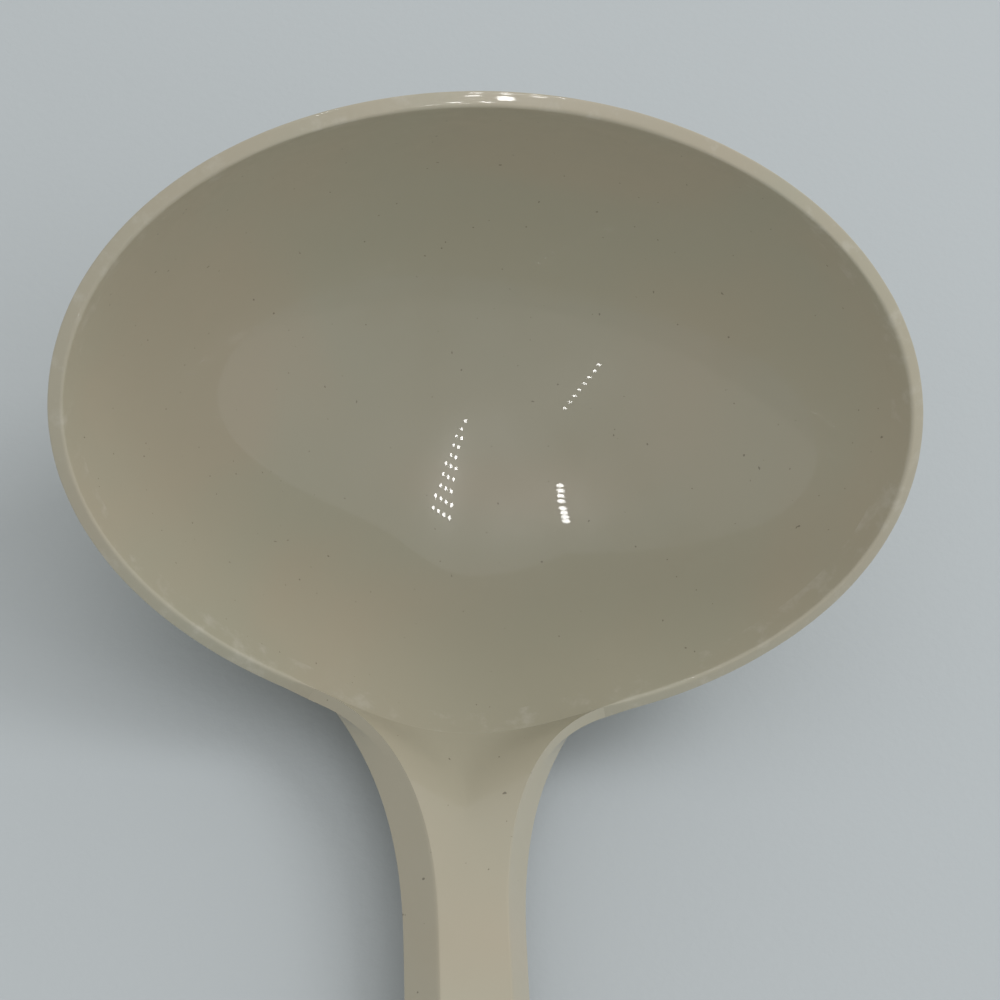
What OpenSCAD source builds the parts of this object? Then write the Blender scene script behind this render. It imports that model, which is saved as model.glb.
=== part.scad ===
// Oval soup ladle, moulded in one piece and lying at rest on a table.
// The bowl is tipped towards its handle, and the handle's end lies flat.
// X runs across the handle, Y from the handle's end to the bowl, Z up.
// The origin is on the table, under the middle of the ladle's box.

/* [Bowl] */
// Inside width of the mouth, across the handle
mouth_w = 93; // [75:1:110]
// Inside length of the mouth, in line with the handle
mouth_l = 68; // [58:1:90]
// Inside depth of the bowl, square to the mouth
bowl_depth = 31; // [24:1:38]
// Thickness of the wall
wall = 1.7; // [1.2:0.1:2.5]
// Fullness of the dish: a higher value has a steeper wall and a flatter floor
fullness = 0.915; // [0.8:0.005:0.94]
// How far the flanks beside the handle lie inside a true oval
flank_in = 0.5; // [0:0.1:1.2]
// How far the mouth is drawn out where the handle leaves it
lip_out = 2.1; // [0:0.1:3]
// Width over which the mouth is drawn out
lip_w = 42; // [36:1:60]
// Height of the rim, square to the mouth
rim_h = 3; // [2:0.5:4]

/* [Rest] */
// Angle that the bowl tips towards its handle on the table
tip = 50; // [42:1:56]

/* [Handle root] */
// Width of the shoulder at the rim
root_w = 33; // [24:0.5:36]
// Distance from the rim to the waist of the handle
root_len = 24; // [20:1:34]
// How far the shoulder reaches down the outside of the bowl, square to the mouth
root_drop = 6; // [4.5:0.5:8]
// Inward turn of the shoulder's side edges where they leave the rim
side_turn = 39; // [25:1:50]
// Inward turn of the edges of the shoulder's top where they leave the rim
top_turn = 65; // [45:1:70]
// Reach of the rim's slope into the shoulder
rim_reach = 9; // [6:0.5:12]
// Reach of the waist's direction into the shoulder
waist_reach = 15; // [8:0.5:18]

/* [Handle shank] */
// Width of the handle's base at the waist
waist_w = 13.4; // [11:0.2:18]
// Height of the handle's base above the table at the waist
waist_rise = 6; // [4:0.5:9]
// Thickness of the handle at the waist
shank_h = 4.5; // [4:0.5:8]
// Width that each sloping side takes from the top face
side_run = 2.5; // [1:0.1:3.5]
// Size of the bevel along the handle's edges
edge = 0.5; // [0.2:0.1:0.8]
// Length of the shank, from the waist to the flat end
shank_len = 140; // [100:5:200]

/* [Handle end] */
// Width of the flat end
end_w = 19; // [15:0.5:26]
// Thickness of the flat end
end_h = 4; // [3:0.5:6]
// Length of the flat end, round tip included
end_len = 34; // [28:1:45]
// Diameter of the hanging hole
hole_d = 7; // [4:0.5:9]

/* [Hidden] */

// Steps of the mesh: across the shoulder, round the rest of the mouth, down the
// dish, along the shoulder, along the shank and round the tip
root_steps = 12;
ring_steps = 72;
dish_steps = 12;
loft_steps = 10;
shank_steps = 20;
tip_steps = 24;
hole_steps = 64;
// Small steps for the slope of the dish: round it, and down it as a share
turn_step = 1;
share_step = 0.001;
// Length of a cut past the face that it leaves
past = 1;

cream = "#b5b09c";
cream_bowl = "#a8a38e";
cream_rim = "#bcb7a4";

// Angle at the middle of the shoulder, counted round the mouth from +X
near = 270;
// Half the angle that the shoulder takes of the mouth
half_root = asin(root_w / mouth_w);
// Half the angle over which the mouth is drawn out
half_lip = asin(lip_w / mouth_w);

// Points at which the mouth is cut, from one side of the shoulder round to it again
root_angles = [for (i = [0:root_steps]) near - half_root + 2 * half_root * i / root_steps];
ring_angles = [
    for (i = [1:ring_steps - 1])
        near + half_root + (360 - 2 * half_root) * i / ring_steps
];
angles = concat(root_angles, ring_angles);

// The inside outline of the mouth, a true oval but for the flanks and the lip
function flank(u) = sin(u) < 0 ? flank_in * pow(sin(2 * u), 2) : 0;
function lip(u) = abs(u - near) < half_lip ? lip_out * pow(cos(90 * (u - near) / half_lip), 2) : 0;
function mouth(u) = [mouth_w / 2 * cos(u), mouth_l / 2 * sin(u) + flank(u) - lip(u % 360)];

// The dish: its outline shrinks by the share r while its section follows an oval
oval_end = sqrt(1 - pow(fullness, 2));
function depth_at(r) = bowl_depth * (sqrt(1 - pow(fullness * r, 2)) - oval_end) / (1 - oval_end);
function share_at(h) = sqrt(1 - pow(oval_end + (1 - oval_end) * h / bowl_depth, 2)) / fullness;
function inside(u, r) = [r * mouth(u)[0], r * mouth(u)[1], -depth_at(r)];
function outward(u, r) =
    let (
        round_it = inside(u + turn_step, r) - inside(u - turn_step, r),
        up_it = inside(u, r + share_step) - inside(u, r - share_step),
        n = cross(round_it, up_it)
    )
    n / norm(n);
function outside(u, r) = inside(u, r) + wall * outward(u, r);

// Shares of the dish at the mouth, under the rim, at the shoulder's foot and below
rim_share = share_at(rim_h);
foot_share = share_at(root_drop);
foot_turn = asin(fullness * foot_share);
low_shares = [for (i = [1:dish_steps - 1]) sin(foot_turn * (1 - i / dish_steps)) / fullness];
shares = concat([rim_share, foot_share], low_shares);
floor_in = [0, 0, -bowl_depth];
floor_out = [0, 0, -bowl_depth - wall];

// The tipped bowl, lifted until its lowest point touches the table
function tipped(p) = [
    p[0],
    p[1] * cos(tip) - p[2] * sin(tip),
    p[1] * sin(tip) + p[2] * cos(tip)
];
tipped_skin = [for (u = angles, r = concat([1], shares)) tipped(outside(u, r))];
lift = -min([for (p = tipped_skin) p[2]]);
far_y = max([for (p = tipped_skin) p[1]]);
near_y = tipped(outside(near, 1))[1];

// Stations along the handle, and the shift that centres the ladle's box
waist_y = near_y - root_len;
neck_y = waist_y - shank_len;
tip_y = neck_y - end_len;
hole_y = tip_y + end_w / 2;
shift = [0, -(far_y + tip_y) / 2, 0];
function rest(p) = tipped(p) + shift + [0, 0, lift];

// Half of the handle's section as [inset from the widest line, height], from the top down
function half_section(h) = [
    [side_run + edge, h],
    [side_run, h - edge],
    [0, edge],
    [edge, 0]
];

// One closed section of the handle: along the top, down a side, back below, up
function section(w, h, y, z) =
    let (
        s = half_section(h),
        top = w / 2 - s[0][0],
        base = w / 2 - s[3][0],
        across = [for (i = [0:root_steps]) 2 * i / root_steps - 1]
    )
    concat(
        [for (k = across) [k * top, y, z + s[0][1]]],
        [for (j = [1, 2]) [w / 2 - s[j][0], y, z + s[j][1]]],
        [for (k = across) [-k * base, y, z + s[3][1]]],
        [for (j = [2, 1]) [s[j][0] - w / 2, y, z + s[j][1]]]
    );

// Faces of a strip between two rows of points, and of a fan to one point
function strip(a, b, n, closed) = [
    for (i = [0:closed ? n - 1 : n - 2])
        let (j = (i + 1) % n)
        each [[a + i, a + j, b + j], [a + i, b + j, b + i]]
];
function turned(faces) = [for (f = faces) [f[0], f[2], f[1]]];
function fan(a, n, apex) = [for (i = [0:n - 1]) [a + i, a + (i + 1) % n, apex]];

// Mean of a list of points, where the fans of a closed end meet
function middle(points) = [for (p = points) 1 / len(points)] * points;

// Faces of a skin through closed loops of n points each
function tube(n, loops) = [for (k = [0:loops - 2]) each strip(k * n, (k + 1) * n, n, true)];

function ease(t) = t * t * (3 - 2 * t);
function bezier(a, b, c, d, t) =
    pow(1 - t, 3) * a + 3 * pow(1 - t, 2) * t * b + 3 * (1 - t) * t * t * c + pow(t, 3) * d;

// The even wall of the dish, from under the rim to its closed floor
module bowl() {
    n = len(angles);
    rows = len(shares);
    points = concat(
        [for (r = shares, u = angles) rest(inside(u, r))],
        [for (r = shares, u = angles) rest(outside(u, r))],
        [rest(floor_in), rest(floor_out)]
    );
    skin = rows * n;
    faces = concat(
        tube(n, rows),
        fan((rows - 1) * n, n, 2 * skin),
        turned([for (k = [0:rows - 2]) each strip(skin + k * n, skin + (k + 1) * n, n, true)]),
        turned(fan(skin + (rows - 1) * n, n, 2 * skin + 1)),
        turned(strip(0, skin, n, true))
    );
    color(cream_bowl)
        polyhedron(points = points, faces = faces, convexity = 6);
}

// The band that ends the wall, cut square to it all round the mouth
module rim() {
    n = len(angles);
    points = concat(
        [for (u = angles) rest(inside(u, 1))],
        [for (u = angles) rest(outside(u, 1))],
        [for (u = angles) rest(outside(u, rim_share))],
        [for (u = angles) rest(inside(u, rim_share))]
    );
    faces = concat(
        turned(tube(n, 3)),
        turned(strip(2 * n, 3 * n, n, true)),
        strip(0, 3 * n, n, true)
    );
    color(cream_rim)
        polyhedron(points = points, faces = faces, convexity = 6);
}

// Slope at which the inside wall meets the shoulder, in the tipped bowl
wall_run = tipped(inside(near, 1)) - tipped(inside(near, 1 - share_step));
wall_climb = -wall_run[2] / wall_run[1];

// Direction in which a point of the seat leaves the bowl, as [inward turn, climb]
function leave(p, way) =
    let (d = [-tan(way[0]) * p[0] / (root_w / 2), -1, way[1]])
    d / norm(d);

// The flared shoulder: it seats on the square rim and on the wall below it, and
// runs out of the inside wall into the waist of the handle
module handle_root() {
    seat = [[1, false], [1, true], [rim_share, true], [foot_share, true]];
    count = len(root_angles);
    grid = [
        for (s = seat, u = root_angles)
            rest(s[1] ? outside(u, s[0]) : inside(u, s[0]))
    ];
    across = [for (i = [0:count - 1]) i];
    loop = concat(
        across,
        [2 * count - 1, 3 * count - 1],
        [for (i = across) 4 * count - 1 - i],
        [2 * count, count]
    );
    n = len(loop);
    ways = concat(
        [for (i = across) [top_turn, wall_climb]],
        [[top_turn, wall_climb], [side_turn, 0]],
        [for (i = across) [side_turn, 0]],
        [[side_turn, 0], [top_turn, wall_climb]]
    );
    waist = section(waist_w, shank_h, waist_y + shift[1], waist_rise);
    rings = [
        for (k = [1:loft_steps], i = [0:n - 1])
            let (
                a = grid[loop[i]],
                b = a + rim_reach * leave(a, ways[i]),
                c = waist[i] + [0, waist_reach, 0]
            )
            bezier(a, b, c, waist[i], k / loft_steps)
    ];
    first = len(grid);
    seat_faces = [for (k = [0:2]) each strip(k * count, (k + 1) * count, count, false)];
    join_faces = [
        for (i = [0:n - 1])
            let (j = (i + 1) % n)
            each [[loop[i], loop[j], first + j], [loop[i], first + j, first + i]]
    ];
    loft_faces = [
        for (k = [0:loft_steps - 2])
            each strip(first + k * n, first + (k + 1) * n, n, true)
    ];
    end_faces = fan(first + (loft_steps - 1) * n, n, first + loft_steps * n);
    color(cream)
        polyhedron(
            points = concat(grid, rings, [middle(waist)]),
            faces = concat(turned(seat_faces), join_faces, loft_faces, end_faces),
            convexity = 6
        );
}

// The long bar: it widens and thins as it comes down to the table
module handle_shank() {
    loops = [
        for (k = [0:shank_steps])
            let (t = k / shank_steps)
            section(
                waist_w + (end_w - waist_w) * ease(t),
                shank_h + (end_h - shank_h) * ease(t),
                waist_y - shank_len * t + shift[1],
                waist_rise * (1 - ease(t))
            )
    ];
    n = len(loops[0]);
    last = shank_steps * n;
    start_faces = turned(fan(0, n, last + n));
    end_faces = fan(last, n, last + n + 1);
    color(cream)
        polyhedron(
            points = concat(
                [for (loop = loops) each loop],
                [middle(loops[0]), middle(loops[shank_steps])]
            ),
            faces = concat(start_faces, tube(n, shank_steps + 1), end_faces),
            convexity = 4
        );
}

// Outline of the flat end at one height, drawn in by the section's inset
function end_outline(inset, z) =
    let (r = end_w / 2 - inset)
    concat(
        [[r, neck_y, z]],
        [
            for (i = [0:tip_steps])
                let (a = 180 * i / tip_steps)
                [r * cos(a), hole_y - r * sin(a), z]
        ],
        [[-r, neck_y, z]]
    );

// The flat end, with its sloping sides led round the tip and a hanging hole
module handle_end() {
    levels = half_section(end_h);
    rings = [for (s = levels) end_outline(s[0], s[1])];
    n = len(rings[0]);
    top_face = [[for (i = [n - 1:-1:0]) i]];
    base_face = [[for (i = [0:n - 1]) 3 * n + i]];
    color(cream)
        translate([0, shift[1], 0])
            difference() {
                polyhedron(
                    points = [for (ring = rings) each ring],
                    faces = concat(top_face, tube(n, 4), base_face),
                    convexity = 4
                );
                translate([0, hole_y, -past])
                    cylinder(d = hole_d, h = end_h + 2 * past, $fn = hole_steps);
            }
}

bowl();
rim();
handle_root();
handle_shank();
handle_end();
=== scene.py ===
"""Oval soup ladle, moulded in one piece and lying at rest on a pale table."""

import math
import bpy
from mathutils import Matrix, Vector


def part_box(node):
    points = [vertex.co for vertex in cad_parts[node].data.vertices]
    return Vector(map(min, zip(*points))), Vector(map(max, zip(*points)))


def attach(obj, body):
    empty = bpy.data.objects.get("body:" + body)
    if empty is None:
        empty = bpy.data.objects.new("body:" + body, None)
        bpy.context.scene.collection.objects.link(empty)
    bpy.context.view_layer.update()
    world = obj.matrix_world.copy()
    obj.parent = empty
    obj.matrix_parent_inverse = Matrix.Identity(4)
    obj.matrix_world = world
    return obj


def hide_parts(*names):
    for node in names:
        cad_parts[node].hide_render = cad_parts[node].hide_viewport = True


bl_info = {
    "name": "Oval Soup Ladle",
    "version": (1, 0, 0),
    "blender": (4, 5, 0),
    "location": "3D View > Sidebar > Ladle",
    "description": "Builds a one-piece moulded soup ladle on a pale table",
    "category": "Add Mesh",
}

import bpy
import numpy as np
from bpy.props import FloatProperty, FloatVectorProperty, IntProperty, PointerProperty
from bpy.types import Operator, Panel, PropertyGroup
from mathutils import Matrix, Vector

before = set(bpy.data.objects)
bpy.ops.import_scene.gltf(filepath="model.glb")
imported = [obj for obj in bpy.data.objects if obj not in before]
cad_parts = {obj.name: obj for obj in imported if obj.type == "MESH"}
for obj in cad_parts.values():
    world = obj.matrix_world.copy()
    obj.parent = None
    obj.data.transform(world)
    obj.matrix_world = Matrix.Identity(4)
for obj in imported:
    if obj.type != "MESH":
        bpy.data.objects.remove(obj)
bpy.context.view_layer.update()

# Angle round the mouth, from +X, at which the handle leaves it
NEAR = 1.5 * math.pi
# Angles within which two faces are shaded as one smooth surface
SMOOTH_WITHIN = math.radians(28)


# Rows of small ceiling lights that gleam in the polished dish, each with its two ends,
# its dots along, and its dots across at each end
LIGHT_ROWS = {
    "left_row": ((0.028, -0.293, 0.608), (0.129, 0.121, 0.603), 10, (1, 4)),
    "far_row": ((-0.34, -0.65, 0.318), (-0.258, -0.45, 0.658), 8, (1, 1)),
    "right_row": ((-0.16, 0.05, 0.607), (-0.156, 0.115, 0.606), 4, (1, 1)),
    "right_row_end": ((-0.156, 0.145, 0.606), (-0.158, 0.195, 0.605), 4, (1, 1)),
}


# Sizes and colours


def length(name, description, default, **more):
    return FloatProperty(
        name=name, description=description, default=default, unit="LENGTH", precision=5, **more
    )


def angle(name, description, degrees, **more):
    return FloatProperty(
        name=name, description=description, default=math.radians(degrees), subtype="ANGLE", **more
    )


def share(name, description, default, **more):
    return FloatProperty(
        name=name, description=description, default=default, subtype="FACTOR", min=0, max=1, **more
    )


def colour(name, description, default):
    return FloatVectorProperty(
        name=name, description=description, default=default, size=3, subtype="COLOR", min=0, max=1
    )


def steps(name, description, default):
    return IntProperty(name=name, description=description, default=default, min=1)


class LadleBowlSizes(PropertyGroup):
    mouth_w: length("Mouth Width", "Inside width of the mouth, across the handle", 0.093)
    mouth_l: length("Mouth Length", "Inside length of the mouth, in line with the handle", 0.068)
    depth: length("Depth", "Inside depth of the bowl, square to the mouth", 0.031)
    wall: length("Wall", "Thickness of the wall", 0.0017)
    fullness: share("Fullness", "Higher is a steeper wall and a flatter floor", 0.915)
    flank_in: length("Flank Inset", "How far the flanks lie inside a true oval", 0.0005)
    lip_out: length("Lip Reach", "How far the mouth is drawn out at the handle", 0.0021)
    lip_w: length("Lip Width", "Width over which the mouth is drawn out", 0.042)
    rim_h: length("Rim Height", "Height of the rim, square to the mouth", 0.003)
    tip: angle("Tip", "How far the bowl tips towards its handle", 50)
    inner_edge: length("Inner Edge", "Worn rounding of the rim's inner edge", 0.00042)
    outer_edge: length("Outer Edge", "Worn rounding of the rim's outer edge", 0.00022)
    around: steps("Steps Around", "Faces round the mouth", 288)
    down: steps("Steps Down", "Faces from the rim to the floor", 72)
    rim_around: steps("Rim Steps", "Faces round the rim, fine enough for its nicks", 720)


class LadleHandleSizes(PropertyGroup):
    root_w: length("Shoulder Width", "Width of the shoulder at the rim", 0.033)
    root_len: length("Shoulder Length", "Distance from the rim to the waist", 0.024)
    root_drop: length("Shoulder Drop", "Reach of the shoulder down the bowl", 0.006)
    side_turn: angle("Side Turn", "Inward turn of the side edges at the rim", 39)
    top_turn: angle("Top Turn", "Inward turn of the top edges at the rim", 65)
    rim_reach: length("Rim Reach", "Reach of the rim's slope into the shoulder", 0.009)
    waist_reach: length("Waist Reach", "Reach of the waist's direction", 0.015)
    waist_w: length("Waist Width", "Width of the handle's base at the waist", 0.0134)
    waist_rise: length("Waist Rise", "Height of the base above the table there", 0.006)
    shank_h: length("Thickness", "Thickness of the handle at the waist", 0.0045)
    side_run: length("Side Run", "Width each sloping side takes from the top", 0.0025)
    edge: length("Edge", "Size of the rounding along the edges", 0.0005)
    shank_len: length("Shank Length", "From the waist to the flat end", 0.14)
    end_w: length("End Width", "Width of the flat end", 0.019)
    end_h: length("End Thickness", "Thickness of the flat end", 0.004)
    end_len: length("End Length", "Length of the flat end", 0.034)
    hole_d: length("Hole", "Diameter of the hanging hole", 0.007)
    hole_edge: length("Hole Edge", "Rounding of the hole's edges", 0.0004)
    across: steps("Steps Across", "Faces across the top of the handle", 40)
    loft: steps("Loft Steps", "Rings from the rim to the waist", 72)
    along: steps("Steps Along", "Rings along the shank", 180)


class LadleFinish(PropertyGroup):
    cream: colour("Cream", "The moulding's colour", (0.41, 0.381, 0.292))
    warm: colour("Warm Cream", "Warmer clouds in the plastic", (0.43, 0.374, 0.284))
    cool: colour("Cool Cream", "Cooler clouds in the plastic", (0.386, 0.381, 0.298))
    speck: colour("Speck", "Dark specks moulded into the plastic", (0.1, 0.085, 0.06))
    chalk: colour("Chalk", "Rubbed plastic along the edges", (0.56, 0.54, 0.48))
    gloss: share("Gloss Roughness", "Roughness of the plastic under its polish", 0.34)
    polish: share("Polish", "Share of the clear polished skin", 0.6)
    polish_rough: share("Polish Roughness", "Roughness of that skin", 0.03)


class LadleStage(PropertyGroup):
    table: colour("Table", "Colour of the table", (0.477, 0.517, 0.548))
    table_size: length("Table Size", "Side of the table's square", 6.0)
    camera_at: FloatVectorProperty(
        name="Camera", description="Where the camera is", default=(-0.05121, -0.03205, 0.22448),
        subtype="TRANSLATION", precision=5,
    )
    camera_azimuth: angle("Azimuth", "Heading of the view, from +Y towards +X", 23.17)
    camera_down: angle("Down", "How far the view looks down", 56.18)
    camera_roll: angle("Roll", "Turn of the camera about its view", 24.35)
    focal: FloatProperty(
        name="Focal Length", description="Focal length in mm on a 36 mm sensor", default=78.92
    )
    world: colour("Room", "Colour of the light from all round", (0.93, 0.93, 0.9))
    world_strength: FloatProperty(name="Room Light", description="Strength", default=0.8)
    key_power: FloatProperty(name="Key", description="Power of the key lamp in W", default=3.6)
    side_power: FloatProperty(name="Side", description="Power of the side lamp in W", default=1.1)
    back_power: FloatProperty(name="Back", description="Power of the back lamp in W", default=0.5)
    dot_size: length("Dot Size", "Diameter of one small ceiling light", 0.016)
    dot_gap: length("Dot Gap", "Distance between dots across a row", 0.034)
    dot_glow: FloatProperty(name="Dot Glow", description="Radiance of a dot", default=34)


# Node trees written as expressions


class Value:
    """A number or vector on a node tree; arithmetic on it adds Math nodes."""

    def __init__(self, nodes, socket):
        self.nodes = nodes
        self.socket = socket

    def math(self, operation, *others):
        return self.nodes.math(operation, self, *others)

    def __add__(self, other):
        return self.math("ADD", other)

    def __radd__(self, other):
        return self.nodes.math("ADD", other, self)

    def __sub__(self, other):
        return self.math("SUBTRACT", other)

    def __rsub__(self, other):
        return self.nodes.math("SUBTRACT", other, self)

    def __mul__(self, other):
        return self.math("MULTIPLY", other)

    def __rmul__(self, other):
        return self.nodes.math("MULTIPLY", other, self)

    def __truediv__(self, other):
        return self.math("DIVIDE", other)

    def __rtruediv__(self, other):
        return self.nodes.math("DIVIDE", other, self)

    def __pow__(self, other):
        return self.math("POWER", other)

    def __neg__(self):
        return self.math("MULTIPLY", -1.0)


class Nodes:
    """Adds nodes to one tree."""

    def __init__(self, tree):
        self.tree = tree
        self.tree.nodes.clear()

    def node(self, kind, settings=None, values=None):
        made = self.tree.nodes.new(kind)
        for name, value in (settings or {}).items():
            setattr(made, name, value)
        for name, value in (values or {}).items():
            self.put(made.inputs[name], value)
        return made

    def put(self, socket, value):
        if isinstance(value, Value):
            self.tree.links.new(value.socket, socket)
        elif isinstance(value, bpy.types.NodeSocket):
            self.tree.links.new(value, socket)
        else:
            socket.default_value = value

    def value(self, kind, settings=None, values=None, out=0):
        return Value(self, self.node(kind, settings, values).outputs[out])

    def math(self, operation, *terms):
        settings = {"operation": operation}
        return self.value("ShaderNodeMath", settings, dict(enumerate(terms)))

    def vector(self, operation, *terms, out=0):
        settings = {"operation": operation}
        return self.value("ShaderNodeVectorMath", settings, dict(enumerate(terms)), out=out)

    def scaled(self, vector, factor):
        settings = {"operation": "SCALE"}
        return self.value("ShaderNodeVectorMath", settings, {0: vector, "Scale": factor})

    def combine(self, x, y, z):
        return self.value("ShaderNodeCombineXYZ", None, {0: x, 1: y, 2: z})

    def separate(self, vector):
        made = self.node("ShaderNodeSeparateXYZ", None, {0: vector})
        return [Value(self, made.outputs[i]) for i in range(3)]

    def noise(self, where, scale, detail=2.0, rough=0.5, warp=0.0):
        values = {"Vector": where, "Scale": scale, "Detail": detail}
        values.update({"Roughness": rough, "Distortion": warp})
        return self.value("ShaderNodeTexNoise", None, values)

    def mix_colour(self, factor, a, b, blend="MIX"):
        settings = {"data_type": "RGBA", "blend_type": blend}
        return self.value("ShaderNodeMix", settings, {0: factor, 6: a, 7: b}, out=2)

    def smooth_step(self, value, low, high):
        settings = {"interpolation_type": "SMOOTHSTEP"}
        values = {"Value": value, "From Min": low, "From Max": high}
        return self.value("ShaderNodeMapRange", settings, values)


# The ladle's shape


class BowlShape:
    """The bowl's outline and dish in metres, as arrays of points."""

    # Steps for the slope of the dish: round it in radians, and down it as a share
    turn_step = math.radians(1)
    share_step = 0.001

    def __init__(self, sizes):
        self.sizes = sizes
        self.half_lip = math.asin(sizes.lip_w / sizes.mouth_w)
        self.oval_end = math.sqrt(1 - sizes.fullness**2)
        u = np.linspace(0, 2 * math.pi, sizes.around, endpoint=False)
        skin = np.vstack([self.tipped(self.outside(u, r)) for r in np.linspace(1, 0.02, 60)])
        far_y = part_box("bowl")[1].y
        self.shift = np.array([0, far_y - skin[:, 1].max(), -skin[:, 2].min()])

    def mouth(self, u):
        s = self.sizes
        low = np.sin(u) < 0
        flank = np.where(low, s.flank_in * np.sin(2 * u) ** 2, 0)
        off = (u % (2 * math.pi)) - NEAR
        lip = np.where(
            np.abs(off) < self.half_lip,
            s.lip_out * np.cos(0.5 * math.pi * off / self.half_lip) ** 2,
            0,
        )
        return s.mouth_w / 2 * np.cos(u), s.mouth_l / 2 * np.sin(u) + flank - lip

    def depth_at(self, r):
        bulge = np.sqrt(1 - (self.sizes.fullness * r) ** 2) - self.oval_end
        return self.sizes.depth * bulge / (1 - self.oval_end)

    def share_at(self, h):
        level = self.oval_end + (1 - self.oval_end) * h / self.sizes.depth
        return np.sqrt(1 - level**2) / self.sizes.fullness

    def inside(self, u, r):
        x, y = self.mouth(u)
        return np.column_stack([r * x, r * y, -self.depth_at(r) * np.ones(len(u))])

    def outward(self, u, r):
        round_it = self.inside(u + self.turn_step, r) - self.inside(u - self.turn_step, r)
        up_it = self.inside(u, r + self.share_step) - self.inside(u, r - self.share_step)
        n = np.cross(round_it, up_it)
        return n / np.linalg.norm(n, axis=1)[:, None]

    def outside(self, u, r):
        return self.inside(u, r) + self.sizes.wall * self.outward(u, r)

    def tipped(self, p):
        c, s = math.cos(self.sizes.tip), math.sin(self.sizes.tip)
        return np.column_stack([p[:, 0], p[:, 1] * c - p[:, 2] * s, p[:, 1] * s + p[:, 2] * c])

    def rest(self, p):
        return self.tipped(p) + self.shift


class HandleShape:
    """Stations and sections of the handle in metres."""

    # Points on a rounded edge, on a side, and on the edge of the base
    round_steps = 5
    side_steps = 8

    def __init__(self, sizes, bowl):
        self.sizes = sizes
        self.bowl = bowl
        self.half_root = math.asin(sizes.root_w / bowl.sizes.mouth_w)
        near_y = bowl.rest(bowl.outside(np.array([NEAR]), 1.0))[0, 1]
        self.waist_y = near_y - sizes.root_len
        self.neck_y = self.waist_y - sizes.shank_len
        self.tip_y = self.neck_y - sizes.end_len

    def half_profile(self, h):
        """Half a section as (inset from the widest line, height), from the top down."""
        s = self.sizes
        side = np.array([s.side_run, h - s.edge]), np.array([0, s.edge])
        lean = (side[0][0] - side[1][0]) / (side[0][1] - side[1][1])
        top_corner = np.array([side[0][0] + lean * s.edge, h])
        base_corner = np.array([side[1][0] - lean * s.edge, 0])
        base_corner[0] = max(base_corner[0], 0)
        top = bent(np.array([s.side_run + s.edge, h]), top_corner, side[0], self.round_steps)
        flat = straight(side[0], side[1], self.side_steps)
        base = bent(side[1], base_corner, np.array([s.edge, 0]), self.round_steps)
        return np.vstack([top, flat[1:], base[1:]])

    def section(self, w, h, y, z):
        """A closed section: along the top, down a side, back below, up the other."""
        profile = self.half_profile(h)
        across = np.linspace(-1, 1, self.sizes.across + 1)
        top = w / 2 - profile[0, 0]
        base = w / 2 - profile[-1, 0]
        rows = [(k * top, profile[0, 1]) for k in across]
        rows += [(w / 2 - inset, height) for inset, height in profile[1:-1]]
        rows += [(-k * base, profile[-1, 1]) for k in across]
        rows += [(inset - w / 2, height) for inset, height in profile[-2:0:-1]]
        rows = np.array(rows)
        return np.column_stack([rows[:, 0], np.full(len(rows), y), z + rows[:, 1]])

    def shank_section(self, t):
        s = self.sizes
        eased = t * t * (3 - 2 * t)
        return self.section(
            s.waist_w + (s.end_w - s.waist_w) * eased,
            s.shank_h + (s.end_h - s.shank_h) * eased,
            self.waist_y - s.shank_len * t,
            s.waist_rise * (1 - eased),
        )


def straight(a, b, count):
    t = np.linspace(0, 1, count + 1)[:, None]
    return a + (b - a) * t


def bent(a, corner, b, count):
    """Points on the curve that rounds a corner from a to b."""
    t = np.linspace(0, 1, count + 1)[:, None]
    return (1 - t) ** 2 * a + 2 * (1 - t) * t * corner + t**2 * b


def bezier(a, b, c, d, t):
    return (1 - t) ** 3 * a + 3 * (1 - t) ** 2 * t * b + 3 * (1 - t) * t**2 * c + t**3 * d


# Meshes


def ring_faces(rings, count, closed_rings=False):
    """Faces between rings of count points each."""
    faces = []
    last = rings if closed_rings else rings - 1
    for k in range(last):
        a, b = k * count, (k + 1) % rings * count
        for i in range(count):
            j = (i + 1) % count
            faces.append((a + i, a + j, b + j, b + i))
    return faces


def cap_faces(first, count, centre, turned=False):
    faces = []
    for i in range(count):
        j = (i + 1) % count
        faces.append((first + j, first + i, centre) if turned else (first + i, first + j, centre))
    return faces


def closed_volume(mesh):
    mesh.calc_loop_triangles()
    points = np.array([v.co for v in mesh.vertices])
    corners = np.array([t.vertices[:] for t in mesh.loop_triangles])
    a, b, c = (points[corners[:, k]] for k in range(3))
    return float(np.einsum("ij,ij->i", a, np.cross(b, c)).sum() / 6)


def finish_piece(mesh, name, node, material):
    """Faces outward, smooth but for real edges, then into the frame in place of its node."""
    if closed_volume(mesh) < 0:
        mesh.flip_normals()
    mesh.shade_smooth()
    mesh.set_sharp_from_angle(angle=SMOOTH_WITHIN)
    mesh.materials.clear()
    mesh.materials.append(material)
    mesh.name = name
    piece = bpy.data.objects.new(name, mesh)
    bpy.context.scene.collection.objects.link(piece)
    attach(piece, "root")
    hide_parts(node)
    return piece


def mesh_of(name, points, faces):
    mesh = bpy.data.meshes.new(name)
    mesh.from_pydata([tuple(p) for p in points], [], faces)
    if mesh.validate():
        raise RuntimeError(f"{name} has faces that cannot be kept")
    mesh.update()
    return mesh


# The dish, made by a node tree from its formula


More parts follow.
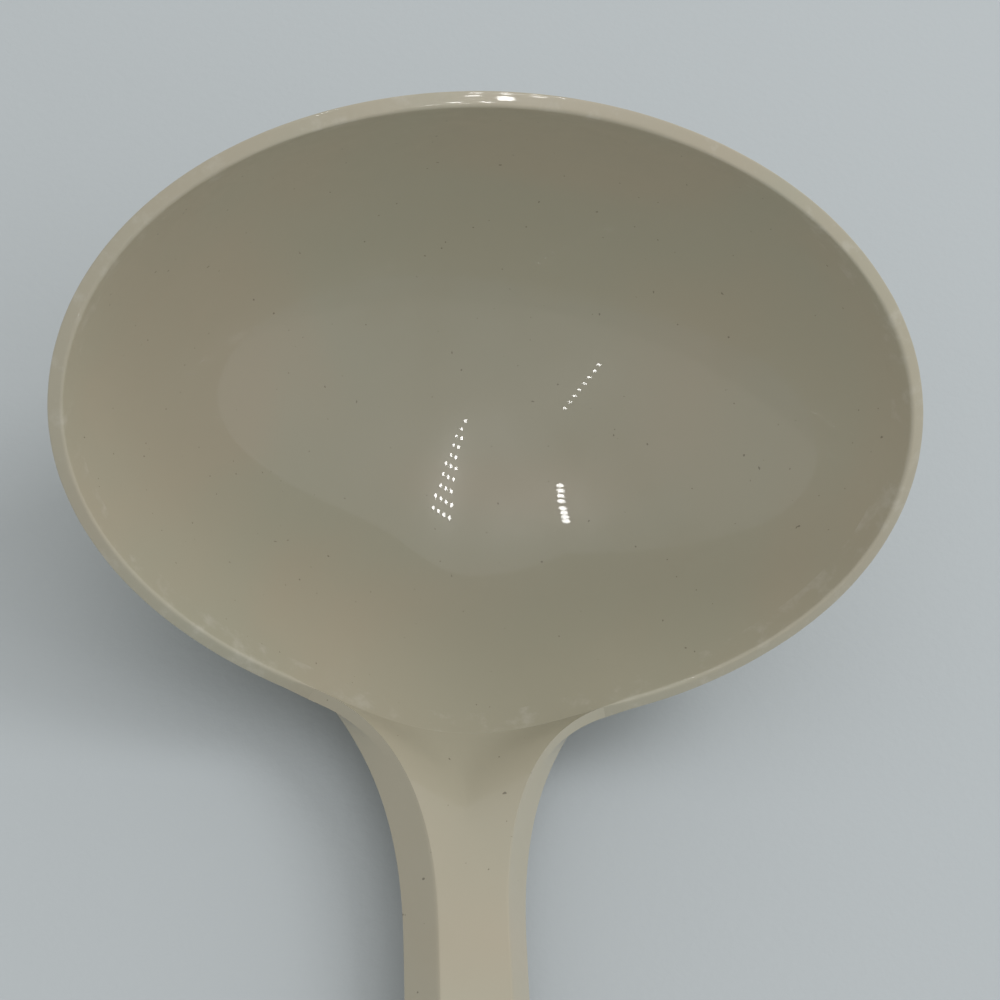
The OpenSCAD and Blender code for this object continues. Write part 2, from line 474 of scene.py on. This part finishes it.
def dish_tree():
    """A closed shell from one sheet: up the inside from the floor and down the outside."""
    tree = bpy.data.node_groups.new("Dish", "GeometryNodeTree")
    nodes = Nodes(tree)
    face = tree.interface
    face.new_socket("Geometry", in_out="OUTPUT", socket_type="NodeSocketGeometry")
    numbers = (
        "Mouth Width", "Mouth Length", "Depth", "Wall", "Fullness", "Flank Inset",
        "Lip Reach", "Half Lip", "Tip", "Top Share",
    )
    for name in numbers:
        face.new_socket(name, in_out="INPUT", socket_type="NodeSocketFloat")
    face.new_socket("Shift", in_out="INPUT", socket_type="NodeSocketVector")
    face.new_socket("Around", in_out="INPUT", socket_type="NodeSocketInt")
    face.new_socket("Rows", in_out="INPUT", socket_type="NodeSocketInt")
    face.new_socket("Finish", in_out="INPUT", socket_type="NodeSocketMaterial")
    given = nodes.node("NodeGroupInput")
    inputs = {s.name: Value(nodes, s) for s in given.outputs if s.name}
    fullness, depth = inputs["Fullness"], inputs["Depth"]
    oval_end = (1.0 - fullness * fullness).math("SQRT")

    def mouth(u):
        s, c = u.math("SINE"), u.math("COSINE")
        low = s.math("LESS_THAN", 0.0)
        flank = low * inputs["Flank Inset"] * (2.0 * u).math("SINE") ** 2.0
        off = (u - NEAR).math("ABSOLUTE")
        near = off.math("LESS_THAN", inputs["Half Lip"])
        bulge = (0.5 * math.pi * off / inputs["Half Lip"]).math("COSINE")
        lip = near * inputs["Lip Reach"] * bulge * bulge
        return 0.5 * inputs["Mouth Width"] * c, 0.5 * inputs["Mouth Length"] * s + flank - lip

    def inside(u, r):
        x, y = mouth(u)
        level = (1.0 - (fullness * r) ** 2.0).math("SQRT")
        drop = depth * (level - oval_end) / (1.0 - oval_end)
        return nodes.combine(r * x, r * y, -drop)

    def slope(u, r):
        du, dr = BowlShape.turn_step, BowlShape.share_step
        round_it = nodes.vector("SUBTRACT", inside(u + du, r), inside(u - du, r))
        up_it = nodes.vector("SUBTRACT", inside(u, r + dr), inside(u, r - dr))
        round_it = nodes.scaled(round_it, 1 / du)
        up_it = nodes.scaled(up_it, 1 / dr)
        n = nodes.vector("CROSS_PRODUCT", round_it, up_it)
        straight_down = (0.0, 0.0, -1e-8)
        return nodes.vector("NORMALIZE", nodes.vector("ADD", n, straight_down))

    sheet = nodes.node(
        "GeometryNodeMeshGrid",
        None,
        {
            "Size X": 1.0,
            "Size Y": 1.0,
            "Vertices X": inputs["Around"] + 1.0,
            "Vertices Y": 2.0 * inputs["Rows"] + 2.0,
        },
    )
    flat = nodes.separate(nodes.node("GeometryNodeInputPosition").outputs[0])
    u = (flat[0] + 0.5) * (2 * math.pi)
    row = ((flat[1] + 0.5) * (2.0 * inputs["Rows"] + 1.0)).math("ROUND")
    outer = row.math("GREATER_THAN", inputs["Rows"] + 0.5)
    row_in = outer * (2.0 * inputs["Rows"] + 1.0 - row) + (1.0 - outer) * row
    top_turn = (fullness * inputs["Top Share"]).math("ARCSINE")
    r = (row_in / inputs["Rows"] * top_turn).math("SINE") / fullness
    skin = nodes.vector("ADD", inside(u, r), nodes.scaled(slope(u, r), inputs["Wall"] * outer))
    x, y, z = nodes.separate(skin)
    c, s = inputs["Tip"].math("COSINE"), inputs["Tip"].math("SINE")
    tipped = nodes.combine(x, y * c - z * s, y * s + z * c)
    shaped = nodes.node(
        "GeometryNodeSetPosition",
        None,
        {"Geometry": sheet.outputs["Mesh"], "Position": nodes.vector("ADD", tipped, inputs["Shift"])},
    )
    sewn = nodes.node(
        "GeometryNodeMergeByDistance",
        None,
        {"Geometry": shaped.outputs[0], "Distance": 1e-6},
    )
    real = nodes.node("GeometryNodeRealizeInstances", None, {"Geometry": sewn.outputs[0]})
    dressed = nodes.node(
        "GeometryNodeSetMaterial", None, {"Geometry": real.outputs[0], "Material": inputs["Finish"]}
    )
    nodes.node("NodeGroupOutput", None, {"Geometry": dressed.outputs[0]})
    return tree


def mesh_from_tree(tree, values):
    """The mesh that a tree makes with these inputs, on an object that is then removed."""
    carrier = bpy.data.objects.new("carrier", bpy.data.meshes.new("carrier"))
    bpy.context.scene.collection.objects.link(carrier)
    modifier = carrier.modifiers.new("Make", "NODES")
    modifier.node_group = tree
    names = {
        item.name: item.identifier
        for item in tree.interface.items_tree
        if item.item_type == "SOCKET" and item.in_out == "INPUT"
    }
    for name, value in values.items():
        modifier[names[name]] = value
    graph = bpy.context.evaluated_depsgraph_get()
    mesh = bpy.data.meshes.new_from_object(carrier.evaluated_get(graph))
    carrier.modifiers.remove(modifier)
    bpy.data.objects.remove(carrier)
    if len(mesh.polygons) == 0:
        raise RuntimeError(f"{tree.name} made no faces")
    return mesh


# Finishes


def new_material(name):
    material = bpy.data.materials.new(name)
    material.use_nodes = True
    nodes = Nodes(material.node_tree)
    where = Value(nodes, nodes.node("ShaderNodeTexCoord").outputs["Object"])
    return material, nodes, where


def clouded_cream(nodes, where, finish):
    """The plastic's own colour: cream, with broad warmer and cooler clouds."""
    broad = nodes.noise(where, 24.0, 2.0, 0.55, 0.6)
    fine = nodes.noise(where, 90.0, 3.0, 0.6)
    base = nodes.mix_colour(nodes.smooth_step(broad, 0.35, 0.65), (*finish.cool, 1), (*finish.warm, 1))
    return nodes.mix_colour(0.5 + 0.5 * (fine - 0.5), base, (*finish.cream, 1))


def plastic_skin(nodes, where, finish, base, bump_height, wear=None):
    """Glossy moulded plastic with a polished skin, scuffed a little by use."""
    scuffs = nodes.noise(where, 420.0, 3.0, 0.6)
    rough = finish.gloss + 0.16 * (scuffs - 0.5)
    coat = finish.polish * nodes.smooth_step(nodes.noise(where, 60.0, 3.0, 0.55), 0.2, 0.5)
    if wear is not None:
        rough = rough + 0.2 * wear
        coat = coat * (1.0 - 0.7 * wear)
    bump = nodes.value(
        "ShaderNodeBump", None, {"Strength": 1.0, "Distance": 0.001, "Height": bump_height}
    )
    shader = nodes.node(
        "ShaderNodeBsdfPrincipled",
        None,
        {
            "Base Color": base,
            "Roughness": rough,
            "Coat Weight": coat,
            "Coat Roughness": finish.polish_rough,
            "Normal": bump,
        },
    )
    nodes.node("ShaderNodeOutputMaterial", None, {"Surface": shader.outputs[0]})


def bowl_plastic(finish):
    material, nodes, where = new_material("bowl_cream")
    base = clouded_cream(nodes, where, finish)
    dots = nodes.noise(where, 1500.0, 1.0, 0.5)
    dots = nodes.smooth_step(dots, 0.77, 0.8)
    base = nodes.mix_colour(dots * 0.6, base, (*finish.speck, 1))
    height = 0.012 * nodes.noise(where, 260.0, 2.0, 0.5)
    plastic_skin(nodes, where, finish, base, height)
    return material


def rim_plastic(finish):
    material, nodes, where = new_material("rim_cream")
    base = clouded_cream(nodes, where, finish)
    rubbed = nodes.smooth_step(nodes.noise(where, 320.0, 4.0, 0.65), 0.5, 0.72)
    base = nodes.mix_colour(rubbed * 0.35, base, (*finish.chalk, 1))
    height = 0.03 * nodes.noise(where, 700.0, 3.0, 0.6)
    plastic_skin(nodes, where, finish, base, height, wear=rubbed)
    return material


def handle_plastic(finish):
    """The handle's one material, made when its first piece asks for it."""
    made = bpy.data.materials.get("handle_cream")
    if made:
        return made
    material, nodes, where = new_material("handle_cream")
    base = clouded_cream(nodes, where, finish)
    dots = nodes.smooth_step(nodes.noise(where, 1300.0, 1.0, 0.5), 0.77, 0.8)
    base = nodes.mix_colour(dots * 0.7, base, (*finish.speck, 1))
    height = 0.02 * nodes.noise(where, 180.0, 2.0, 0.5)
    plastic_skin(nodes, where, finish, base, height)
    return material


def table_top(stage):
    material, nodes, where = new_material("table_top")
    cloud = nodes.noise(where, 5.0, 3.0, 0.5)
    grain = nodes.noise(where, 900.0, 2.0, 0.5)
    shade = 0.97 + 0.06 * cloud
    base = nodes.mix_colour(1.0, (*stage.table, 1), nodes.combine(shade, shade, shade), "MULTIPLY")
    bump = nodes.value(
        "ShaderNodeBump", None, {"Strength": 0.2, "Distance": 0.0002, "Height": grain}
    )
    shader = nodes.node(
        "ShaderNodeBsdfPrincipled",
        None,
        {"Base Color": base, "Roughness": 0.55 + 0.1 * cloud, "Normal": bump},
    )
    nodes.node("ShaderNodeOutputMaterial", None, {"Surface": shader.outputs[0]})
    return material


# Operators, one for each piece and one for the stage


class LADLE_OT_bowl(Operator):
    """Build the bowl: an even wall on an oval dish, closed at the bottom"""

    bl_idname = "ladle.bowl"
    bl_label = "Bowl"

    def execute(self, context):
        s = context.scene.ladle_bowl
        shape = BowlShape(s)
        material = bowl_plastic(context.scene.ladle_finish)
        mesh = mesh_from_tree(
            dish_tree(),
            {
                "Mouth Width": s.mouth_w,
                "Mouth Length": s.mouth_l,
                "Depth": s.depth,
                "Wall": s.wall,
                "Fullness": s.fullness,
                "Flank Inset": s.flank_in,
                "Lip Reach": s.lip_out,
                "Half Lip": shape.half_lip,
                "Tip": s.tip,
                "Top Share": float(shape.share_at(s.rim_h)),
                "Shift": tuple(shape.shift),
                "Around": s.around,
                "Rows": s.down,
                "Finish": material,
            },
        )
        finish_piece(mesh, "bowl_dish", "bowl", material)
        return {"FINISHED"}


def rim_edge_sizes(u, sizes, half_root):
    """Rounding of the rim's inner and outer edges at each angle, worn unevenly."""
    off = np.abs((u % (2 * math.pi)) - NEAR)
    bare = np.clip((off - half_root) / math.radians(4), 0, 1)
    bare = bare * bare * (3 - 2 * bare)
    uneven = sum(
        weight * np.sin(count * u + start)
        for weight, count, start in ((0.5, 5, 0.4), (0.3, 13, 2.1), (0.2, 37, 1.2), (0.12, 83, 0.3))
    )
    inner = sizes.inner_edge * (1 + 0.3 * uneven) * (0.12 + 0.88 * bare)
    outer = sizes.outer_edge * (1 - 0.3 * uneven) * (0.2 + 0.8 * bare)
    return inner, outer


class LADLE_OT_rim(Operator):
    """Build the rim: the band that ends the wall, cut square, with worn edges"""

    bl_idname = "ladle.rim"
    bl_label = "Rim"

    # Points of the section along the wall, on each rounded edge and on the cut face
    wall_steps = 5
    edge_steps = 6
    cut_steps = 3

    def execute(self, context):
        s = context.scene.ladle_bowl
        shape = BowlShape(s)
        handle = HandleShape(context.scene.ladle_handle, shape)
        u = NEAR + np.linspace(0, 2 * math.pi, s.rim_around, endpoint=False)
        inner, outer = rim_edge_sizes(u, s, handle.half_root)
        low = s.rim_h
        corner_in, corner_out = shape.inside(u, 1.0), shape.outside(u, 1.0)
        cut = (corner_out - corner_in) / s.wall
        rows = []
        for t in np.linspace(0, 1, self.wall_steps + 1):
            drop = low + (inner - low) * t
            rows.append(self.skin(shape.inside, u, shape.share_at(drop)))
        start, end = rows[-1], corner_in + cut * inner[:, None]
        rows += self.corner(start, corner_in, end)
        start_out = corner_out - cut * outer[:, None]
        for t in np.linspace(0, 1, self.cut_steps + 1)[1:]:
            rows.append(end + (start_out - end) * t)
        below = self.skin(shape.outside, u, shape.share_at(outer))
        rows += self.corner(start_out, corner_out, below)
        for t in np.linspace(0, 1, self.wall_steps + 1)[1:]:
            drop = outer + (low - outer) * t
            rows.append(self.skin(shape.outside, u, shape.share_at(drop)))
        points = np.vstack([shape.rest(row) for row in rows])
        mesh = mesh_of("rim_band", points, ring_faces(len(rows), len(u), closed_rings=True))
        material = rim_plastic(context.scene.ladle_finish)
        finish_piece(mesh, "rim_band", "rim", material)
        return {"FINISHED"}

    def skin(self, side, u, shares):
        """Points of one side of the wall, each at its own share."""
        return np.vstack([side(u[i : i + 1], shares[i]) for i in range(len(u))])

    def corner(self, a, corner, b):
        t = np.linspace(0, 1, self.edge_steps + 1)[1:]
        return [(1 - k) ** 2 * a + 2 * (1 - k) * k * corner + k * k * b for k in t]


class LADLE_OT_shoulder(Operator):
    """Build the shoulder: it seats on the rim and the wall and flows into the waist"""

    bl_idname = "ladle.shoulder"
    bl_label = "Shoulder"

    def execute(self, context):
        s = context.scene.ladle_handle
        bowl = BowlShape(context.scene.ladle_bowl)
        handle = HandleShape(s, bowl)
        seat, ways = self.seat_loop(bowl, handle)
        waist = handle.section(s.waist_w, s.shank_h, handle.waist_y, s.waist_rise)
        leave = np.column_stack(
            [-np.tan(ways[:, 0]) * seat[:, 0] / (s.root_w / 2), -np.ones(len(seat)), ways[:, 1]]
        )
        leave /= np.linalg.norm(leave, axis=1)[:, None]
        b = seat + s.rim_reach * leave
        c = waist + np.array([0, s.waist_reach, 0])
        rings = [bezier(seat, b, c, waist, t) for t in np.linspace(0, 1, s.loft + 1)]
        count = len(seat)
        grid, grid_faces = self.seat_faces(bowl, handle, count)
        first = (s.loft + 1) * count
        points = np.vstack([*rings, grid, waist.mean(axis=0)[None, :]])
        faces = ring_faces(s.loft + 1, count)
        faces += [tuple(first + k if k >= 0 else -k - 1 for k in f) for f in grid_faces]
        faces += cap_faces(s.loft * count, count, len(points) - 1)
        mesh = mesh_of("handle_shoulder", points, faces)
        material = handle_plastic(context.scene.ladle_finish)
        finish_piece(mesh, "handle_shoulder", "handle_root", material)
        return {"FINISHED"}

    def levels(self, bowl, handle):
        """Points of the seat at one angle: over the cut face and down the outside."""
        cut = [("cut", t) for t in np.linspace(0, 1, handle.round_steps + 1)]
        rim_h, drop = bowl.sizes.rim_h, handle.sizes.root_drop
        side = [("out", h) for h in np.linspace(0, rim_h, handle.side_steps + 1)[1:]]
        foot = [("out", h) for h in np.linspace(rim_h, drop, handle.round_steps + 1)[1:]]
        return cut + side + foot

    def at(self, bowl, u, level):
        kind, amount = level
        if kind == "cut":
            inner, outer = bowl.inside(u, 1.0), bowl.outside(u, 1.0)
            return bowl.rest(inner + (outer - inner) * amount)
        return bowl.rest(bowl.outside(u, float(bowl.share_at(amount))))

    def seat_loop(self, bowl, handle):
        """The seat's outline, matched to a section, with each point's turn and climb."""
        s = handle.sizes
        u = NEAR + np.linspace(-1, 1, s.across + 1) * handle.half_root
        levels = self.levels(bowl, handle)
        near = np.array([NEAR])
        run = bowl.tipped(bowl.inside(near, 1.0)) - bowl.tipped(bowl.inside(near, 0.999))
        climb = -run[0, 2] / run[0, 1]
        top = self.at(bowl, u, levels[0])
        down = np.vstack([self.at(bowl, u[-1:], level) for level in levels[1:-1]])
        foot = self.at(bowl, u[::-1], levels[-1])
        up = np.vstack([self.at(bowl, u[:1], level) for level in levels[-2:0:-1]])
        steps_cut, steps_side = handle.round_steps, handle.side_steps
        fade = [1.0] * steps_cut + list(np.linspace(1, 0, steps_side + 1)[1:])
        fade += [0.0] * (len(levels) - 2 - len(fade))
        fade = np.array(fade)
        mix = np.concatenate([np.ones(len(top)), fade, np.zeros(len(foot)), fade[::-1]])
        turn = s.side_turn + (s.top_turn - s.side_turn) * mix
        return np.vstack([top, down, foot, up]), np.column_stack([turn, climb * mix])

    def seat_faces(self, bowl, handle, count):
        """The hidden seat: rows of points between the outline's two sides."""
        s = handle.sizes
        u = NEAR + np.linspace(-1, 1, s.across + 1) * handle.half_root
        levels = self.levels(bowl, handle)
        width = len(u)
        inner_rows = [self.at(bowl, u[1:-1], level) for level in levels[1:-1]]
        grid = np.vstack(inner_rows)

        def index(row, column):
            """Points of the outline count down from -1, and the seat's own from nought."""
            if row == 0:
                return -(column + 1)
            if row == len(levels) - 1:
                return -(width + len(levels) - 2 + (width - 1 - column) + 1)
            if column == width - 1:
                return -(width + row - 1 + 1)
            if column == 0:
                return -(2 * width + len(levels) - 2 + (len(levels) - 2 - row) + 1)
            return (row - 1) * (width - 2) + column - 1

        faces = []
        for row in range(len(levels) - 1):
            for column in range(width - 1):
                corners = ((row, column), (row + 1, column), (row + 1, column + 1), (row, column + 1))
                faces.append(tuple(index(*corner) for corner in corners))
        return grid, faces


class LADLE_OT_shank(Operator):
    """Build the shank: the long bar that widens and comes down to the table"""

    bl_idname = "ladle.shank"
    bl_label = "Shank"

    def execute(self, context):
        s = context.scene.ladle_handle
        handle = HandleShape(s, BowlShape(context.scene.ladle_bowl))
        rings = [handle.shank_section(t) for t in np.linspace(0, 1, s.along + 1)]
        count = len(rings[0])
        ends = np.vstack([rings[0].mean(axis=0), rings[-1].mean(axis=0)])
        points = np.vstack([*rings, ends])
        last = s.along * count
        faces = ring_faces(s.along + 1, count)
        faces += cap_faces(0, count, last + count, turned=True)
        faces += cap_faces(last, count, last + count + 1)
        mesh = mesh_of("handle_bar", points, faces)
        material = handle_plastic(context.scene.ladle_finish)
        finish_piece(mesh, "handle_bar", "handle_shank", material)
        return {"FINISHED"}


class LADLE_OT_tip(Operator):
    """Build the flat end: sloping sides led round the tip, and a hanging hole"""

    bl_idname = "ladle.tip"
    bl_label = "Flat End"

    # Points on the round tip, on each straight side and on each quarter of the neck
    arc_steps = 48
    side_steps = 16
    neck_steps = 16
    face_steps = 6

    def execute(self, context):
        s = context.scene.ladle_handle
        handle = HandleShape(s, BowlShape(context.scene.ladle_bowl))
        hole_y = handle.tip_y + s.end_w / 2
        profile = handle.half_profile(s.end_h)
        rims = [self.outline(s, handle, hole_y, inset) for inset, _ in profile]
        away = rims[0] - np.array([0, hole_y])
        way = away / np.linalg.norm(away, axis=1)[:, None]
        hole, e = s.hole_d / 2, s.hole_edge
        level = lambda ring, z: np.column_stack([ring, np.full(len(ring), z)])
        round_hole = lambda r: np.array([0, hole_y]) + way * r
        top_in, top_out = level(round_hole(hole + e), s.end_h), level(rims[0], s.end_h)
        base_in, base_out = level(round_hole(hole + e), 0), level(rims[-1], 0)
        wall_top, wall_base = level(round_hole(hole), s.end_h - e), level(round_hole(hole), e)
        rings = [top_in + (top_out - top_in) * t for t in np.linspace(0, 1, self.face_steps + 1)]
        rings += [level(rims[k], profile[k][1]) for k in range(1, len(profile) - 1)]
        rings += [base_out + (base_in - base_out) * t for t in np.linspace(0, 1, self.face_steps + 1)]
        rings += self.hole_edge(base_in, level(round_hole(hole), 0), wall_base)
        rings.append(wall_top)
        rings += self.hole_edge(wall_top, level(round_hole(hole), s.end_h), top_in)[:-1]
        points = np.vstack(rings)
        mesh = mesh_of("handle_tip", points, ring_faces(len(rings), len(way), closed_rings=True))
        material = handle_plastic(context.scene.ladle_finish)
        finish_piece(mesh, "handle_tip", "handle_end", material)
        return {"FINISHED"}

    def hole_edge(self, a, corner, b):
        return [(1 - t) ** 2 * a + 2 * (1 - t) * t * corner + t * t * b for t in (0.25, 0.5, 0.75, 1)]

    def outline(self, s, handle, hole_y, inset):
        """The end's outline at one height, drawn in by the section's inset."""
        r = s.end_w / 2 - inset
        turn = np.linspace(0, math.pi, self.arc_steps + 1)
        arc = np.column_stack([r * np.cos(turn), hole_y - r * np.sin(turn)])
        neck, foot = np.array([-r, handle.neck_y]), np.array([r, handle.neck_y])
        left = straight(arc[-1], neck, self.side_steps)[1:]
        across = straight(neck, foot, self.neck_steps)[1:]
        right = straight(foot, arc[0], self.side_steps)[1:-1]
        return np.vstack([arc, left, across, right])


class LADLE_OT_stage(Operator):
    """Set the table, the lamps, the room's light and the camera"""

    bl_idname = "ladle.stage"
    bl_label = "Stage"

    def execute(self, context):
        stage = context.scene.ladle_stage
        self.table(stage)
        self.room(context.scene, stage)
        self.lamp("key", stage.key_power, (0.75, 0.55, 0.9), 0.5)
        self.lamp("side", stage.side_power, (1.0, -0.1, 0.6), 0.5)
        self.lamp("back", stage.back_power, (0.2, 1.1, 0.6), 0.5)
        self.light_rows(stage)
        self.camera(context.scene, stage)
        context.scene.view_settings.view_transform = "Standard"
        return {"FINISHED"}

    def table(self, stage):
        half = stage.table_size / 2
        corners = [(-half, -half, 0), (half, -half, 0), (half, half, 0), (-half, half, 0)]
        mesh = mesh_of("table", corners, [(0, 1, 2, 3)])
        mesh.materials.append(table_top(stage))
        table = bpy.data.objects.new("table", mesh)
        bpy.context.scene.collection.objects.link(table)

    def room(self, scene, stage):
        world = bpy.data.worlds.new("room")
        world.use_nodes = True
        nodes = Nodes(world.node_tree)
        light = nodes.node(
            "ShaderNodeBackground",
            None,
            {"Color": (*stage.world, 1), "Strength": stage.world_strength},
        )
        nodes.node("ShaderNodeOutputWorld", None, {"Surface": light.outputs[0]})
        scene.world = world

    def lamp(self, name, power, place, size):
        data = bpy.data.lights.new(name, "AREA")
        data.energy = power
        data.size = size
        lamp = bpy.data.objects.new(name, data)
        at = Vector(place)
        lamp.matrix_world = Matrix.Translation(at) @ at.to_track_quat("Z", "Y").to_matrix().to_4x4()
        lamp.visible_glossy = False
        bpy.context.scene.collection.objects.link(lamp)

    def light_rows(self, stage):
        """The small ceiling lights, which show in reflections and light nothing else."""
        for name, (start, end, along, across) in LIGHT_ROWS.items():
            start, end = Vector(start), Vector(end)
            side = (end - start).cross(Vector((0, 0, 1))).normalized()
            for k in range(along):
                t = k / (along - 1)
                count = round(across[0] + (across[1] - across[0]) * t)
                for j in range(count):
                    off = (j - (count - 1) / 2) * stage.dot_gap
                    place = start.lerp(end, t) + side * off
                    self.glow(f"{name}_{k}_{j}", place, stage.dot_size, stage.dot_glow)

    def glow(self, name, place, size, radiance):
        """A round lamp that faces the bowl, as bright as this however small it is."""
        data = bpy.data.lights.new(name, "AREA")
        data.shape = "DISK"
        data.size = size
        data.energy = radiance * math.pi * math.pi * (size / 2) ** 2
        lamp = bpy.data.objects.new(name, data)
        bowl_low, bowl_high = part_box("bowl")
        facing = (place - (bowl_low + bowl_high) / 2).to_track_quat("Z", "Y")
        lamp.matrix_world = Matrix.Translation(place) @ facing.to_matrix().to_4x4()
        lamp.visible_diffuse = False
        lamp.visible_camera = False
        bpy.context.scene.collection.objects.link(lamp)

    def camera(self, scene, stage):
        a, d, roll = stage.camera_azimuth, stage.camera_down, stage.camera_roll
        view = Vector((math.sin(a) * math.cos(d), math.cos(a) * math.cos(d), -math.sin(d)))
        level = view.cross(Vector((0, 0, 1))).normalized()
        over = level.cross(view)
        right = level * math.cos(roll) + over * math.sin(roll)
        up = over * math.cos(roll) - level * math.sin(roll)
        turn = Matrix((right, up, -view)).transposed().to_4x4()
        data = bpy.data.cameras.new("camera")
        data.sensor_width = 36
        data.lens = stage.focal
        data.clip_start = 0.01
        camera = bpy.data.objects.new("camera", data)
        camera.matrix_world = Matrix.Translation(stage.camera_at) @ turn
        scene.collection.objects.link(camera)
        scene.camera = camera


class LADLE_PT_panel(Panel):
    """The ladle's pieces, sizes and stage"""

    bl_idname = "LADLE_PT_panel"
    bl_label = "Oval Soup Ladle"
    bl_space_type = "VIEW_3D"
    bl_region_type = "UI"
    bl_category = "Ladle"

    def draw(self, context):
        for operator in BUILD_ORDER:
            self.layout.operator(operator.bl_idname)
        for name in GROUPS:
            group = getattr(context.scene, name)
            box = self.layout.box()
            for prop in group.bl_rna.properties:
                if prop.identifier not in {"rna_type", "name"}:
                    box.prop(group, prop.identifier)


GROUPS = {
    "ladle_bowl": LadleBowlSizes,
    "ladle_handle": LadleHandleSizes,
    "ladle_finish": LadleFinish,
    "ladle_stage": LadleStage,
}
BUILD_ORDER = (
    LADLE_OT_bowl,
    LADLE_OT_rim,
    LADLE_OT_shoulder,
    LADLE_OT_shank,
    LADLE_OT_tip,
    LADLE_OT_stage,
)


def register():
    for group in GROUPS.values():
        bpy.utils.register_class(group)
    for name, group in GROUPS.items():
        setattr(bpy.types.Scene, name, PointerProperty(type=group))
    for part in (*BUILD_ORDER, LADLE_PT_panel):
        bpy.utils.register_class(part)


def unregister():
    for part in (LADLE_PT_panel, *reversed(BUILD_ORDER)):
        bpy.utils.unregister_class(part)
    for name in GROUPS:
        delattr(bpy.types.Scene, name)
    for group in reversed(tuple(GROUPS.values())):
        bpy.utils.unregister_class(group)


def main():
    register()
    bpy.ops.ladle.bowl()
    bpy.ops.ladle.rim()
    bpy.ops.ladle.shoulder()
    bpy.ops.ladle.shank()
    bpy.ops.ladle.tip()
    bpy.ops.ladle.stage()


if __name__ == "__main__":
    main()
